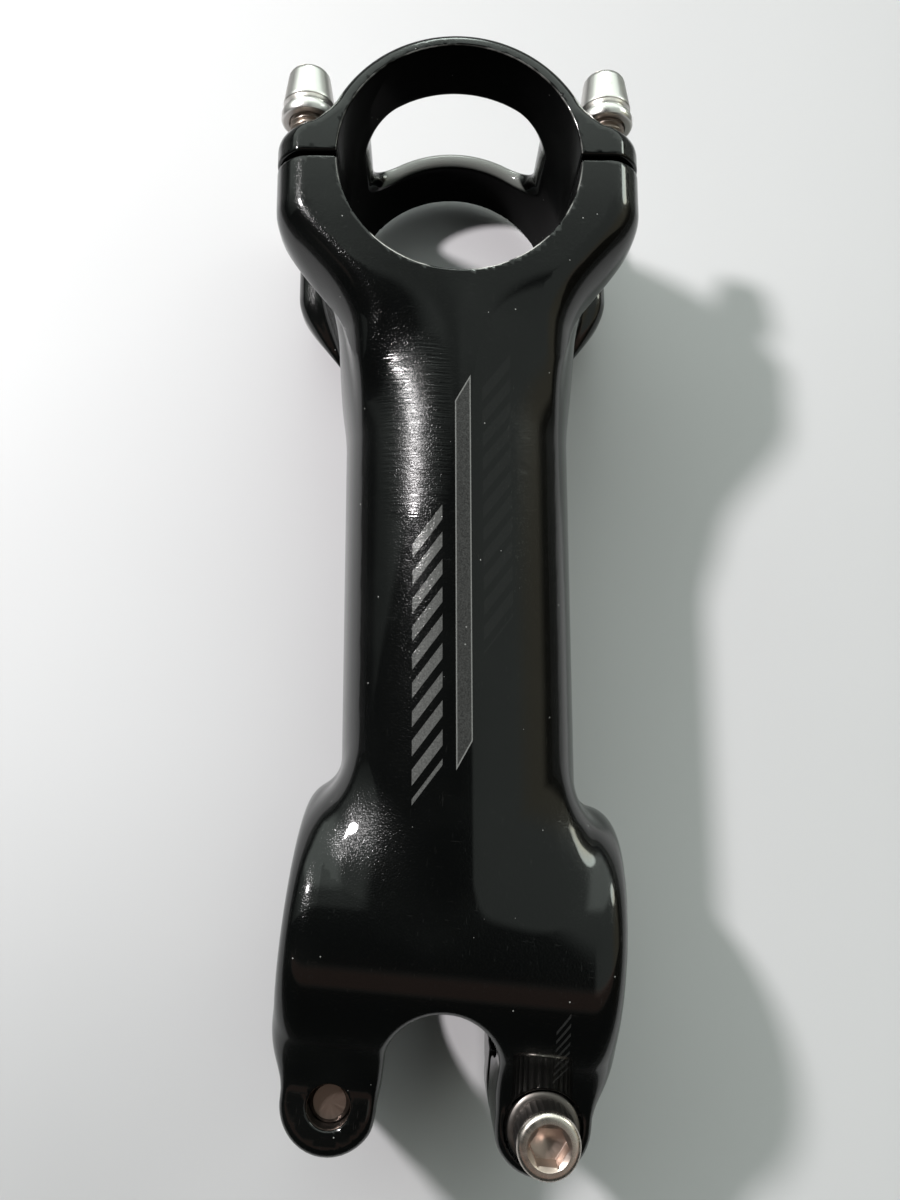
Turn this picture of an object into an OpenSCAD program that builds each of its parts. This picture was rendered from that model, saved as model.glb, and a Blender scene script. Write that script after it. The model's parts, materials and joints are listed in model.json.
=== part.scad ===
// Threadless handlebar stem: a hollow forged body that clamps a steerer tube with
// two opposed bolts, and a four-bolt faceplate that clamps the handlebar.
//
// Frame: the origin is the centre of the steerer bore, midway between the top and
// bottom faces. +Z runs up the steerer, +X runs forward to the handlebar and +Y is
// the rider's left. Millimetres.

/* [Stem] */
// Distance from the steerer axis to the handlebar axis, along the stem's axis
stem_length = 100; // [80:10:130]
// Upward angle of the stem's axis from square to the steerer
rise_angle = 6; // [0:1:10]
// How far below the middle of the clamp the stem's axis meets the steerer axis
axis_drop = 1; // [0:0.5:2]
// Height of the extension, square to the stem's axis
extension_height = 32.5; // [31:0.5:33]
// Width of the extension, across the bike
extension_width = 35; // [31:0.5:35]
// Radius along the extension's long edges
extension_corner = 10.5; // [8:0.5:10.5]
// Wall of the hollow extension
extension_wall = 3; // [2.5:0.5:4]

/* [Handlebar clamp] */
// Diameter of the handlebar
bar_diameter = 31.8; // [31.8]
// Width of the clamp along the handlebar
bar_clamp_width = 36; // [34:1:42]
// Gap between the faceplate and the body on each side of the handlebar
faceplate_gap = 0.6; // [0.4:0.2:2]
// Wall of the faceplate over the handlebar
faceplate_wall = 2.4; // [2.2:0.2:4]
// Height of each faceplate ear, from the gap to the bolt's seat
ear_height = 5.2; // [4.6:0.2:7]
// Distance of a faceplate bolt's axis from the stem's axis
ear_bolt_offset = 20.3; // [20:0.1:21]
// Distance of a faceplate bolt's axis from the stem's middle plane
ear_bolt_side = 12.4; // [12:0.2:13]
// Metal around a faceplate bolt, from its axis to the outside of the ear
ear_radius = 3.9; // [3.7:0.1:4.3]
// Width of the window in the faceplate
window_width = 15.6; // [12:0.2:16]
// Angle that the window spans each side of the faceplate's centre
window_angle = 43; // [30:1:52]
// Depth of the relief in the middle of the bore, so that the bar is held near its edges
relief_depth = 0.3; // [0.2:0.1:0.5]

/* [Steerer clamp] */
// Diameter of the steerer tube
steerer_diameter = 28.6; // [28.6]
// Height of the clamp along the steerer
stack_height = 40.6; // [40:0.2:42]
// Outside diameter of the clamp around the steerer
steerer_clamp_diameter = 36; // [35.4:0.2:37]
// Distance of the steerer bolts behind the steerer axis
steerer_bolt_setback = 19; // [18.8:0.1:20]
// Distance between the two steerer bolts, along the steerer
steerer_bolt_spacing = 25.3; // [25:0.1:26]
// Radius of the round lobe around each steerer bolt
lobe_radius = 5.9; // [5.6:0.1:6]
// Distance from the middle plane to the outside face of a lobe
lobe_reach = 11; // [10.5:0.5:12]
// Width of the slot that lets the clamp close
slot_width = 2.2; // [1.6:0.2:2.6]
// How far behind the steerer axis the U-shaped notch begins
notch_depth = 6.2; // [5.5:0.1:8]

/* [Fasteners] */
// Nominal diameter of the bolts
bolt_diameter = 5; // [5]
// Running clearance between a bolt and its hole, on the radius
thread_clearance = 0.05; // [0.03:0.01:0.08]
// Length of a faceplate bolt below its head
face_bolt_length = 15; // [14:0.5:15]
// Height of a faceplate bolt's tapered head
face_head_height = 5.4; // [4.6:0.2:5.6]
// Distance that the faceplate bolts stand off their seats, backed out three turns
face_bolt_standoff = 2.4; // [0:0.8:3.2]
// Length of a steerer bolt below its head
steerer_bolt_length = 20; // [18:1:20]
// Height of a steerer bolt's socket head
steerer_head_height = 5; // [4:0.5:5]
// Hexagonal key that fits every bolt, across its flats
key_size = 4; // [4]

/* [Hidden] */

$fn = 96;
eps = 0.02;

bar_r = bar_diameter / 2;
steerer_r = steerer_diameter / 2;
clamp_r = steerer_clamp_diameter / 2;
bolt_r = bolt_diameter / 2;
hole_r = bolt_r + thread_clearance;
clear_r = bolt_r + 0.25;

top_side = 1;
bottom_side = -1;
left_side = 1;
right_side = -1;

// Handlebar clamp, measured along the stem's axis
split_x = stem_length - faceplate_gap / 2;
ear_back_x = stem_length + faceplate_gap / 2;
ear_seat_x = ear_back_x + ear_height;
ear_outer = ear_bolt_offset + ear_radius;
flare_x = stem_length - 26;
flare_r = 21;
thread_depth = 8.1;
saddle_r = 7.5;
saddle_offset = ear_outer + 4;
waist_r = 34;
window_corner = 4;
relief_width = window_width + 2;
full_x = flare_x + 14;
envelope_corner = 1.5;

// Steerer clamp
lobe_z = steerer_bolt_spacing / 2;
notch_r = lobe_z - lobe_radius;
shoulder_rim = 0.8;
pocket_start = clamp_r + 1.5;
spot_r = 4.6;
spot_depth = 0.5;

// Faceplate bolt and washer
face_washer_r = 3.7;
face_washer_height = 1.8;
face_head_base_r = 3.5;
face_head_top_r = 2.8;
face_head_groove = 0.45;

// Steerer bolt and washer
steerer_head_r = 3.7;
steerer_washer_r = 4.3;
steerer_washer_height = 1;
steerer_seat_y = lobe_reach - spot_depth;

key_depth = 2.6;
key_r = key_size / 2 / cos(30);
tip_chamfer = 0.6;
rim_chamfer = 0.4;

black_paint = [0.02, 0.02, 0.022];
silver_steel = [0.72, 0.71, 0.69];
bronze_steel = [0.62, 0.52, 0.47];

// ---- Frames -----------------------------------------------------------------

// Puts its children in the stem axis frame: X along the stem, Z square to it
module on_stem_axis() {
    translate([0, 0, -axis_drop]) rotate([0, -rise_angle, 0]) children();
}

// Puts a faceplate fastener, drawn up +Z from its seat, on one corner of the clamp
module on_ear_seat(vertical, side) {
    on_stem_axis()
        translate([ear_seat_x, side * ear_bolt_side, vertical * ear_bolt_offset])
            rotate([0, 90, 0]) children();
}

// Puts a steerer fastener, drawn up +Z from its seat, on one lobe
module on_lobe_seat(vertical, side) {
    translate([-steerer_bolt_setback, side * steerer_seat_y, vertical * lobe_z])
        rotate([-side * 90, 0, 0]) children();
}

// ---- Shared shapes ----------------------------------------------------------

// Rectangle with true round corners, centred
module rounded_rectangle(width, height, corner) {
    square([width - 2 * corner, height], center = true);
    square([width, height - 2 * corner], center = true);
    for (x = [-1, 1], y = [-1, 1])
        translate([x * (width / 2 - corner), y * (height / 2 - corner)]) circle(corner);
}

// Ring of rectangular section with both outer rims chamfered
module chamfered_disc(radius, height, chamfer) {
    rotate_extrude() polygon([
        [0, 0],
        [radius - chamfer, 0],
        [radius, chamfer],
        [radius, height - chamfer],
        [radius - chamfer, height],
        [0, height]
    ]);
}

// Bolt shank hanging down from the head's underside, with a chamfered tip
module shank(length) {
    rotate_extrude() polygon([
        [0, eps],
        [bolt_r, eps],
        [bolt_r, tip_chamfer - length],
        [bolt_r - tip_chamfer, -length],
        [0, -length]
    ]);
}

// Hexagonal key socket sunk into a head from the height given
module key_socket(head_height) {
    translate([0, 0, head_height - key_depth])
        cylinder(r = key_r, h = key_depth + eps, $fn = 6);
}

// Bore for the handlebar, relieved between its two clamping bands
module bar_bore() {
    translate([stem_length, 0, 0]) rotate([90, 0, 0]) {
        cylinder(r = bar_r, h = 2 * bar_clamp_width, center = true);
        cylinder(r = bar_r + relief_depth, h = relief_width, center = true);
    }
}

// Plate that is extruded evenly each side of the middle plane from a side view
module side_plate(width) {
    rotate([90, 0, 0]) linear_extrude(height = width, center = true) children();
}

// ---- Body -------------------------------------------------------------------

// Side view of the bar cradle, with concave flares down to the extension
module cradle_profile() {
    difference() {
        translate([flare_x, -ear_outer]) square([split_x - flare_x, 2 * ear_outer]);
        for (vertical = [top_side, bottom_side])
            translate([flare_x, vertical * (extension_height / 2 + flare_r)]) circle(flare_r);
    }
}

// Saddle-shaped dip in an ear, between the two bolts on one side
module ear_saddles() {
    for (vertical = [top_side, bottom_side])
        translate([flare_x, 0, vertical * saddle_offset])
            rotate([0, 90, 0]) cylinder(r = saddle_r, h = stem_length - flare_x + 2 * ear_height);
}

// Hollows in the flanks that narrow the cradle to the width of the extension
module flank_waists() {
    inset = (bar_clamp_width - extension_width) / 2;
    for (side = [left_side, right_side])
        translate([flare_x, side * (extension_width / 2 + waist_r), 0])
            cylinder(r = waist_r, h = 4 * ear_outer, center = true);
    for (side = [left_side, right_side])
        translate([flare_x - inset, side * (extension_width / 2 + inset), 0])
            cube([2 * inset, 2 * inset, 4 * ear_outer], center = true);
}

// Thin slice of the cradle's rounded envelope at one place along the stem
module envelope_slice(x, width, height, corner) {
    translate([x, 0, 0]) rotate([90, 0, 90])
        linear_extrude(height = eps) rounded_rectangle(width, height, corner, $fn = 32);
}

// Envelope that rounds the cradle's long edges into those of the extension
module cradle_envelope() {
    hull() {
        envelope_slice(flare_x, extension_width, extension_height, extension_corner);
        envelope_slice(full_x, bar_clamp_width, 2 * ear_outer, envelope_corner);
        envelope_slice(split_x - eps, bar_clamp_width, 2 * ear_outer, envelope_corner);
    }
}

module cradle() {
    difference() {
        intersection() {
            side_plate(bar_clamp_width) cradle_profile();
            cradle_envelope();
        }
        flank_waists();
        ear_saddles();
    }
}

module extension() {
    rotate([90, 0, 90])
        linear_extrude(height = stem_length - bar_r + 2)
            rounded_rectangle(extension_width, extension_height, extension_corner);
}

// Cavity from the cradle towards the steerer, closed at its far end
module pocket() {
    translate([pocket_start, 0, 0]) rotate([90, 0, 90])
        linear_extrude(height = stem_length - pocket_start)
            rounded_rectangle(
                extension_width - 2 * extension_wall,
                extension_height - 2 * extension_wall,
                extension_corner - extension_wall
            );
}

// Collar around the steerer, with softened rims
module steerer_collar() {
    rim = 1.2;
    rotate_extrude() {
        translate([0, -stack_height / 2]) square([clamp_r - rim, stack_height]);
        translate([0, rim - stack_height / 2]) square([clamp_r, stack_height - 2 * rim]);
        for (vertical = [top_side, bottom_side])
            translate([clamp_r - rim, vertical * (stack_height / 2 - rim)]) circle(rim);
    }
}

// Height that the collar stands above the extension's top or bottom edge
function collar_step(vertical) =
    stack_height / 2 - extension_height / 2 / cos(rise_angle)
    + vertical * (axis_drop - clamp_r * tan(rise_angle));

// Concave shoulder between the collar and the top or bottom of the extension
module shoulder(vertical) {
    radius = collar_step(vertical) - shoulder_rim;
    edge = extension_height / 2;
    side_plate(extension_width - extension_corner) difference() {
        translate([0, vertical * edge - (vertical == top_side ? 1 : radius)])
            square([clamp_r - 1 + radius, radius + 1]);
        translate([clamp_r - 1 + radius, vertical * (edge + radius)]) circle(radius);
    }
}

// Lobe around one steerer bolt and the band that carries it round from the collar
module lobe(vertical) {
    translate([-steerer_bolt_setback, 0, vertical * lobe_z]) {
        rotate([90, 0, 0]) cylinder(r = lobe_radius, h = 2 * lobe_reach, center = true);
        translate([0, -lobe_reach, -lobe_radius])
            cube([steerer_bolt_setback - steerer_r / 2, 2 * lobe_reach, 2 * lobe_radius]);
    }
}

// U-shaped opening through the back of the clamp, between the lobes
module notch() {
    round_x = -notch_depth - notch_r;
    rotate([90, 0, 0]) translate([round_x, 0, 0])
        cylinder(r = notch_r, h = 3 * clamp_r, center = true);
    translate([2 * round_x, -1.5 * clamp_r, -notch_r])
        cube([-round_x, 3 * clamp_r, 2 * notch_r]);
}

// Slot behind the steerer that lets the two bolts draw the clamp closed
module closing_slot() {
    translate([-2 * clamp_r, -slot_width / 2, -stack_height])
        cube([2 * clamp_r, slot_width, 2 * stack_height]);
}

// Bolt hole through one lobe: a clear half and spot face on the head's side, a
// threaded half and countersink on the other
module lobe_hole(vertical, side) {
    on_lobe_seat(vertical, side) {
        cylinder(r = spot_r, h = spot_depth + eps);
        translate([0, 0, -steerer_seat_y]) cylinder(r = clear_r, h = steerer_seat_y + eps);
        translate([0, 0, -steerer_seat_y - lobe_reach - eps])
            cylinder(r = hole_r, h = lobe_reach + 2 * eps);
        translate([0, 0, -steerer_seat_y - lobe_reach - eps])
            cylinder(r1 = hole_r + tip_chamfer, r2 = hole_r, h = tip_chamfer);
    }
}

module stem_body() {
    color(black_paint) difference() {
        union() {
            on_stem_axis() {
                cradle();
                extension();
            }
            steerer_collar();
            for (vertical = [top_side, bottom_side]) {
                on_stem_axis() shoulder(vertical);
                lobe(vertical);
            }
        }
        on_stem_axis() {
            pocket();
            bar_bore();
            for (vertical = [top_side, bottom_side], side = [left_side, right_side])
                translate([split_x - thread_depth, side * ear_bolt_side, vertical * ear_bolt_offset])
                    rotate([0, 90, 0]) cylinder(r = hole_r, h = thread_depth + eps);
        }
        cylinder(r = steerer_r, h = 2 * stack_height, center = true);
        notch();
        closing_slot();
        lobe_hole(top_side, left_side);
        lobe_hole(bottom_side, right_side);
    }
}

// ---- Faceplate --------------------------------------------------------------

// Side view of the faceplate: a thin arc over the bar that runs out into the ears
module faceplate_profile() {
    difference() {
        union() {
            translate([stem_length, 0]) circle(bar_r + faceplate_wall);
            translate([ear_back_x, -ear_outer + 1]) square([ear_height, 2 * ear_outer - 2]);
            translate([ear_back_x, -ear_outer]) square([ear_height - 1, 2 * ear_outer]);
            for (vertical = [top_side, bottom_side])
                translate([ear_seat_x - 1, vertical * (ear_outer - 1)]) circle(1);
        }
        translate([0, -2 * ear_outer]) square([ear_back_x, 4 * ear_outer]);
    }
}

// Round-ended window through the middle of the arc
module faceplate_window() {
    reach = (bar_r + faceplate_wall) * sin(window_angle);
    translate([ear_seat_x, 0, 0]) rotate([90, 0, 90])
        linear_extrude(height = 2 * bar_r)
            rounded_rectangle(window_width, 2 * reach, window_corner);
}

module faceplate() {
    color(black_paint) on_stem_axis() difference() {
        side_plate(bar_clamp_width) faceplate_profile();
        bar_bore();
        faceplate_window();
        ear_saddles();
        for (vertical = [top_side, bottom_side], side = [left_side, right_side])
            translate([ear_back_x - eps, side * ear_bolt_side, vertical * ear_bolt_offset])
                rotate([0, 90, 0]) cylinder(r = clear_r, h = 2 * ear_height);
        for (vertical = [top_side, bottom_side], side = [left_side, right_side])
            translate([ear_seat_x, side * ear_bolt_side, vertical * ear_bolt_offset])
                rotate([0, 90, 0]) cylinder(r = face_washer_r + 0.3, h = 2 * ear_height);
    }
}

// ---- Fasteners --------------------------------------------------------------

// Tapered socket head with a groove near its base, on an M5 shank
module faceplate_bolt(vertical, side) {
    color(silver_steel) on_ear_seat(vertical, side)
        translate([0, 0, face_bolt_standoff + face_washer_height]) difference() {
            union() {
                rotate_extrude() polygon([
                    [0, 0],
                    [face_head_base_r - face_head_groove, 0],
                    [face_head_base_r - face_head_groove, face_head_groove],
                    [face_head_base_r, 2 * face_head_groove],
                    [face_head_top_r, face_head_height - rim_chamfer],
                    [face_head_top_r - rim_chamfer, face_head_height],
                    [0, face_head_height]
                ]);
                shank(face_bolt_length);
            }
            key_socket(face_head_height);
        }
}

// Thick collar washer that stays under a faceplate bolt's head
module faceplate_washer(vertical, side) {
    color(silver_steel) on_ear_seat(vertical, side)
        translate([0, 0, face_bolt_standoff]) difference() {
            chamfered_disc(face_washer_r, face_washer_height, rim_chamfer);
            translate([0, 0, -eps]) cylinder(r = hole_r, h = face_washer_height + 2 * eps);
        }
}

// Straight-sided socket head on an M5 shank
module steerer_bolt(vertical, side) {
    color(silver_steel) on_lobe_seat(vertical, side)
        translate([0, 0, steerer_washer_height]) difference() {
            union() {
                chamfered_disc(steerer_head_r, steerer_head_height, rim_chamfer);
                shank(steerer_bolt_length);
            }
            key_socket(steerer_head_height);
        }
}

module steerer_washer(vertical, side) {
    color(bronze_steel) on_lobe_seat(vertical, side) difference() {
        chamfered_disc(steerer_washer_r, steerer_washer_height, rim_chamfer / 2);
        translate([0, 0, -eps]) cylinder(r = hole_r, h = steerer_washer_height + 2 * eps);
    }
}

stem_body();
faceplate();
faceplate_bolt(top_side, left_side);  // faceplate_bolt_top_left
faceplate_bolt(top_side, right_side);  // faceplate_bolt_top_right
faceplate_bolt(bottom_side, left_side);  // faceplate_bolt_bottom_left
faceplate_bolt(bottom_side, right_side);  // faceplate_bolt_bottom_right
faceplate_washer(top_side, left_side);  // faceplate_washer_top_left
faceplate_washer(top_side, right_side);  // faceplate_washer_top_right
faceplate_washer(bottom_side, left_side);  // faceplate_washer_bottom_left
faceplate_washer(bottom_side, right_side);  // faceplate_washer_bottom_right
steerer_bolt(top_side, left_side);  // steerer_bolt_upper
steerer_bolt(bottom_side, right_side);  // steerer_bolt_lower
steerer_washer(top_side, left_side);  // steerer_washer_upper
steerer_washer(bottom_side, right_side);  // steerer_washer_lower
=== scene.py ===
"""Handlebar stem: the looks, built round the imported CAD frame.

Lengths are in millimetres until a mesh is written, and points are in the row frame:
X forward to the handlebar, Y to the rider's left, Z up the steerer.
"""
import json
import math

import bmesh
import bpy
import numpy as np
import openvdb
from mathutils import Matrix, Quaternion, Vector


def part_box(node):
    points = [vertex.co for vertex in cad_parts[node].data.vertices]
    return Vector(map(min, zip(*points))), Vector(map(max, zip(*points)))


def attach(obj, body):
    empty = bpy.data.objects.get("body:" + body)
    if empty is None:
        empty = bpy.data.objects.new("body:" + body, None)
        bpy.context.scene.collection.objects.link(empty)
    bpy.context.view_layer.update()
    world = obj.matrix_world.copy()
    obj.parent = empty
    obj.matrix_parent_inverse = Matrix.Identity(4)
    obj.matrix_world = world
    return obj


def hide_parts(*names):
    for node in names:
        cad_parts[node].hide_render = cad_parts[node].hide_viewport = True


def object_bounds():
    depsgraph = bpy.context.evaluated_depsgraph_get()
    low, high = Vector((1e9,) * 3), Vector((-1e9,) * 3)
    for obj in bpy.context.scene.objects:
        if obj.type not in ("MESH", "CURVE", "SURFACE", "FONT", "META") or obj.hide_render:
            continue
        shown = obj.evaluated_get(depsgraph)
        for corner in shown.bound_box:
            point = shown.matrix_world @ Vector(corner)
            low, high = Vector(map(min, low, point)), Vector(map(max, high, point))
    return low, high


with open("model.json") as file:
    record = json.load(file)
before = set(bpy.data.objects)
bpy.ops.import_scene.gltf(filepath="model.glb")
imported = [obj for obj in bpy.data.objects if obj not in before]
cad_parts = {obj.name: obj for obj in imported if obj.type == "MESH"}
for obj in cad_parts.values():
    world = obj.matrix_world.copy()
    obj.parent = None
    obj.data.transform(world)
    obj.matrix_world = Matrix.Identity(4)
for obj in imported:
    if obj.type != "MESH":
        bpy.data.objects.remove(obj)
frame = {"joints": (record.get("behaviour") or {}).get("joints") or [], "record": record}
cad_low, cad_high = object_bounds()

# ---- Sizes that the frame states ------------------------------------------------

METRE = 1000.0
mounts = {mount["name"]: mount for mount in frame["record"]["mounts"]}
joints = {joint["name"]: joint for joint in frame["joints"]}

BAR_R = mounts["bar_clamp"]["dims"]["r_mm"]
CLAMP_HALF = mounts["bar_clamp"]["dims"]["length_mm"] / 2
STEERER_R = mounts["steerer_clamp"]["dims"]["r_mm"]
STACK_HALF = mounts["steerer_clamp"]["dims"]["length_mm"] / 2

ALONG = np.array(joints["faceplate_lift_off"]["axis"])
SIDE = np.array([0.0, 1.0, 0.0])
SQUARE = np.cross(ALONG, SIDE)
BAR_CENTRE = np.array(mounts["bar_clamp"]["pos_m"]) * METRE
LENGTH = BAR_CENTRE[0] / ALONG[0]
STEM_ORIGIN = BAR_CENTRE - LENGTH * ALONG


def stem_coordinates(points):
    """Distance along the stem's axis, across the bike, and square to both."""
    offset = points - STEM_ORIGIN
    return offset @ ALONG, offset[:, 1], offset @ SQUARE


def seat_of(joint_name):
    """A bolt's seat and the direction that it leaves in, from its hinge."""
    joint = joints[joint_name]
    return np.array(joint["pos_m"]) * METRE, np.array(joint["axis"], float)


EAR_CORNERS = [(vertical, side) for vertical in ("top", "bottom") for side in ("left", "right")]
ear_seat, _ = seat_of("faceplate_bolt_top_left_turn")
lobe_seat, _ = seat_of("steerer_bolt_upper_turn")
EAR_SEAT_X, EAR_BOLT_Y, EAR_BOLT_Z = (float(v[0]) for v in stem_coordinates(ear_seat[None]))
LOBE_X, LOBE_SEAT_Y, LOBE_Z = -lobe_seat[0], lobe_seat[1], lobe_seat[2]

# ---- Sizes of the forged shapes -------------------------------------------------

BODY_HALF_HEIGHT = 16.2
BODY_HALF_WIDTH = 17.8
BODY_EDGE = 4.0
FLARE_EDGE = 9.0
SECTION_R = 16.8
FLARE_START = 78.0
FLARE_END = 94.0
CLAMP_MID_HEIGHT = 19.6
EAR_RADIUS = 3.9
EAR_OUTER = EAR_BOLT_Z + EAR_RADIUS
EAR_INNER = 8.0
EAR_INNER_CORNER = 2.6
EAR_SIDE_CORNER = 5.0
EAR_TOP_EDGE = 3.0
EAR_HEIGHT = 5.2
SPLIT_HALF_GAP = 0.3
SADDLE_BLEND = 3.0
COLLAR_R = 18.0
COLLAR_RIM = 3.8
SHOULDER_BLEND = 3.4
SIDE_BLEND = 9.0
LOBE_R = 5.9
LOBE_REACH = 11.0
LOBE_RIM = 1.5
LOBE_BLEND = 3.0
NOTCH_DEPTH = 6.2
NOTCH_EDGE = 1.0
SLOT_HALF = 1.1
FINE_EDGE = 0.4
BORE_EDGE = 0.22
WALL = 3.0
POCKET_START = 19.5
FACE_WALL = 2.4
RING_RIM = 2.1
RING_BLEND = 3.5
WINDOW_HALF_WIDTH = 7.8
WINDOW_REACH = 12.4
WINDOW_CORNER = 4.0
WINDOW_EDGE = 1.1
THREAD_DEPTH_IN_EAR = 8.1
SEAT_SINK = 0.05
BOLT_R = 2.5
HOLE_R = 2.55
CLEAR_R = 2.75

# ---- Sizes of the fasteners -----------------------------------------------------

PITCH = 0.8
THREAD_DEPTH = 0.36
KEY_SIZE = 4.0
FACE_STANDOFF = 2.4
FACE_WASHER_HEIGHT = 1.8
FACE_BOLT_LENGTH = 15.0
FACE_NECK = 1.2
FACE_HEAD_HEIGHT = 5.4
FACE_SOCKET_DEPTH = 2.6
STEERER_WASHER_HEIGHT = 1.0
# 0.6 mm longer than the CAD bolt, which brings its end nearer to the mouth of its hole
STEERER_BOLT_LENGTH = 20.6
STEERER_NECK = 9.0
STEERER_HEAD_HEIGHT = 5.0
STEERER_SOCKET_DEPTH = 2.5
WASHER_BORE_R = 2.56
KNURL_TEETH = 32
KNURL_DEPTH = 0.07

# ---- Distance fields ------------------------------------------------------------


def smoothstep(start, end, value):
    """0 before the start, 1 after the end, and an even curve between."""
    t = np.clip((value - start) / (end - start), 0.0, 1.0)
    return t * t * (3.0 - 2.0 * t)


def join(a, b, radius):
    """Union with a round fillet in the corner between the shapes."""
    u = np.maximum(radius - a, 0.0)
    v = np.maximum(radius - b, 0.0)
    return np.maximum(radius, np.minimum(a, b)) - np.hypot(u, v)


def clip(a, b, radius):
    """Intersection with a round edge where the shapes meet."""
    u = np.maximum(radius + a, 0.0)
    v = np.maximum(radius + b, 0.0)
    return np.minimum(-radius, np.maximum(a, b)) + np.hypot(u, v)


def cut(a, b, radius):
    """The first shape less the second, with a round edge round the cut."""
    return clip(a, -b, radius)


def rounded_box(a, b, half_a, half_b, corner):
    """Distance from a rectangle with round corners."""
    qa = np.abs(a) - half_a + corner
    qb = np.abs(b) - half_b + corner
    outside = np.hypot(np.maximum(qa, 0.0), np.maximum(qb, 0.0))
    return outside + np.minimum(np.maximum(qa, qb), 0.0) - corner


def ear_profile(y, z, swell):
    """Height limit of the four ears: swell is 1 at the clamp and 0 in the extension."""
    outer = BODY_HALF_HEIGHT + (EAR_OUTER - BODY_HALF_HEIGHT) * swell
    inner_edge = EAR_INNER + 3.0 * (1.0 - swell)
    return clip(np.abs(z) - outer, inner_edge - np.abs(y), EAR_INNER_CORNER * swell + 0.01)


def round_flank(y, z, radius):
    """The extension's two round flanks, which are arcs about points off the middle plane."""
    return np.hypot(np.maximum(np.abs(y) - BODY_HALF_WIDTH + SECTION_R, 0.0), z) - radius


def main_shell(x, y, z):
    """The extension and the bar cradle, as one section that changes along the stem."""
    swell = smoothstep(FLARE_START, FLARE_END, x)
    widen = smoothstep(FLARE_START - 14.0, FLARE_END - 8.0, x)
    half_height = BODY_HALF_HEIGHT + (CLAMP_MID_HEIGHT - BODY_HALF_HEIGHT) * swell
    corner = BODY_EDGE + (FLARE_EDGE - BODY_EDGE) * smoothstep(FLARE_START - 14.0, FLARE_START + 2.0, x)
    corner = corner + (EAR_SIDE_CORNER - FLARE_EDGE) * smoothstep(FLARE_START + 4.0, FLARE_END + 1.0, x)
    outer = BODY_HALF_HEIGHT + (EAR_OUTER - BODY_HALF_HEIGHT) * swell
    flank = round_flank(y, z * BODY_HALF_HEIGHT / outer, SECTION_R)
    side = flank + (np.abs(y) - CLAMP_HALF - flank) * widen
    height = join(np.abs(z) - half_height, ear_profile(y, z, swell), SADDLE_BLEND * swell + 0.01)
    shell = clip(height, side, corner)
    shell = clip(shell, x - (LENGTH - SPLIT_HALF_GAP), FINE_EDGE)
    return np.maximum(shell, -x)


def steerer_clamp(points):
    """The collar, its two lobes and the notch between them."""
    x, y, z = points.T
    collar = clip(np.hypot(x, y) - COLLAR_R, np.abs(z) - STACK_HALF, COLLAR_RIM)
    along_lobe = np.clip(x, -LOBE_X, -4.0)
    lobe = np.hypot(x - along_lobe, np.abs(z) - LOBE_Z) - LOBE_R
    lobe = clip(lobe, np.abs(y) - LOBE_REACH, LOBE_RIM)
    return join(collar, lobe, LOBE_BLEND)


def steerer_cuts(points, solid):
    """Cuts the notch, the slot, the steerer bore and the two bolt holes."""
    x, y, z = points.T
    notch_r = LOBE_Z - LOBE_R
    along_notch = np.minimum(x, -NOTCH_DEPTH - notch_r)
    notch = np.hypot(x - along_notch, z) - notch_r
    solid = cut(solid, notch, NOTCH_EDGE)
    slot = np.maximum(np.abs(y) - SLOT_HALF, x + 6.0)
    solid = cut(solid, slot, FINE_EDGE)
    solid = cut(solid, np.hypot(x, y) - STEERER_R, FINE_EDGE)
    # the upper bolt's head is on the left and the lower bolt's head is on the right
    head_side = y * np.sign(z)
    from_axis = np.hypot(x + LOBE_X, np.abs(z) - LOBE_Z)
    hole_r = np.where(head_side > 0.0, CLEAR_R, HOLE_R)
    solid = cut(solid, from_axis - hole_r, 0.35)
    spot = np.maximum(from_axis - 4.6, LOBE_SEAT_Y - head_side)
    return cut(solid, spot, 0.25)


def body_distance(points):
    """The whole forged body: shell, clamp, pocket, bar bore and bolt holes."""
    x, y, z = stem_coordinates(points)
    # the fillet shrinks to nothing where the extension and the collar face the same way
    alike = y * y / np.maximum(np.hypot(y, z) * np.hypot(points[:, 0], y), 1.0)
    widest = SHOULDER_BLEND + (SIDE_BLEND - SHOULDER_BLEND) * smoothstep(4.0, 13.0, np.abs(y))
    fillet = widest * (1.0 - np.minimum(alike, 1.0) ** 2) + 0.01
    solid = join(main_shell(x, y, z), steerer_clamp(points), fillet)
    pocket = round_flank(y, z, SECTION_R - WALL)
    pocket = clip(np.abs(z) - BODY_HALF_HEIGHT + WALL, pocket, BODY_EDGE - 1.0)
    solid = cut(solid, np.maximum(pocket, POCKET_START - x), 0.8)
    solid = cut(solid, np.hypot(x - LENGTH, z) - BAR_R, BORE_EDGE)
    from_axis = np.hypot(np.abs(y) - EAR_BOLT_Y, np.abs(z) - EAR_BOLT_Z)
    threads = np.maximum(from_axis - HOLE_R, LENGTH - SPLIT_HALF_GAP - THREAD_DEPTH_IN_EAR - x)
    solid = cut(solid, threads, 0.25)
    return steerer_cuts(points, solid)


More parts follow.
